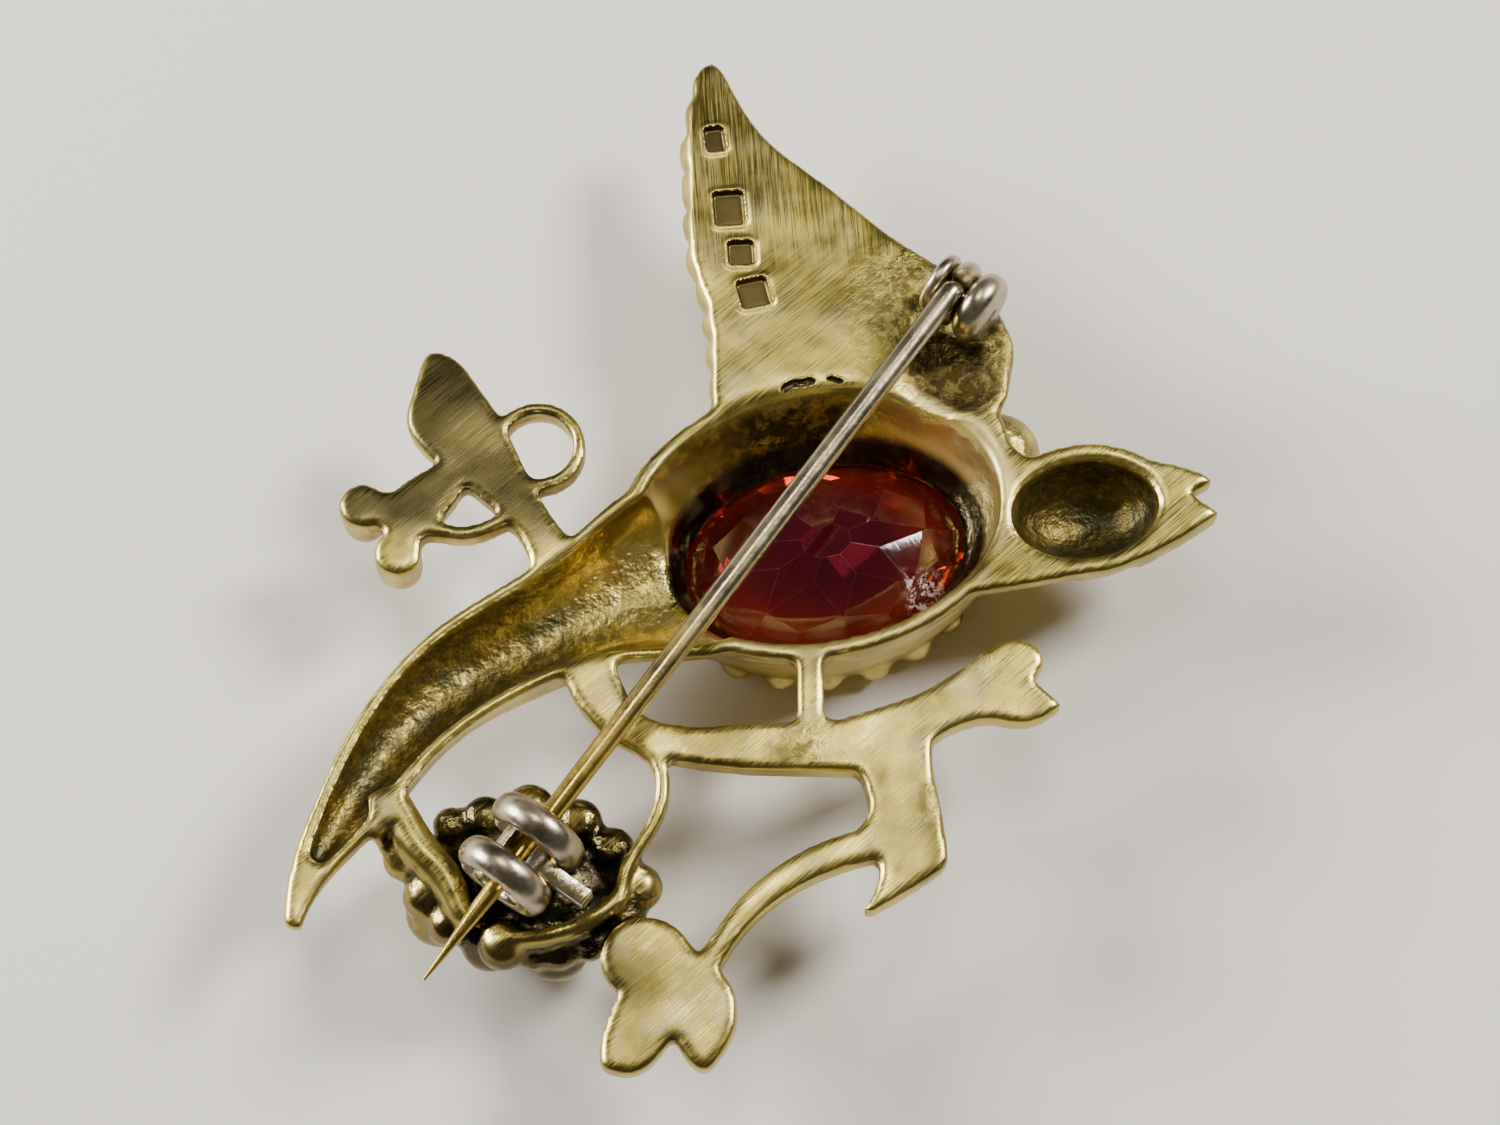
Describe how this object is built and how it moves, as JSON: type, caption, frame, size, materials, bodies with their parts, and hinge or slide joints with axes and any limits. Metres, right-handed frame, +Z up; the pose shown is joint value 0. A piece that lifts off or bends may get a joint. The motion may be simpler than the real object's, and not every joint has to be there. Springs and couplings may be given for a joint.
{
  "type": "bird brooch",
  "caption": "Silver-gilt bird brooch lying face down: hollow body with an oval faceted stone, wing, tail, leafy branch, pin on a riveted hinge and a turning safety catch.",
  "frame": {"origin": "bottom centre of the bounding box, on the surface that the brooch lies on, face down", "axes": "+Z up, out of the flat back; +X towards the bird's beak; +Y towards the wing tip"},
  "size_m": [0.0384, 0.0456, 0.0105],
  "materials": {
    "gilt_silver": "worn pale gilding on cast silver, brushed on the flat back, tarnished in the hollows",
    "red_stone": "polished facets, orange-red with a dark maroon middle",
    "pin_metal": "drawn wire, worn gilding",
    "catch_gilt": "gilt, polished by use"
  },
  "bodies": {
    "brooch": {"bird_casting": "gilt_silver", "oval_stone": "red_stone", "hinge_rivet": "pin_metal", "pin_wire": "pin_metal"},
    "catch": {"catch_rotor": "catch_gilt"}
  },
  "joints": [
    {"name": "catch_turn", "type": "hinge", "parent": "brooch", "child": "catch", "pos_m": [-0.00962, -0.01437, 0.00835], "axis": [-0.5853, -0.8101, -0.0341], "range_deg": [0, 90]}
  ]
}
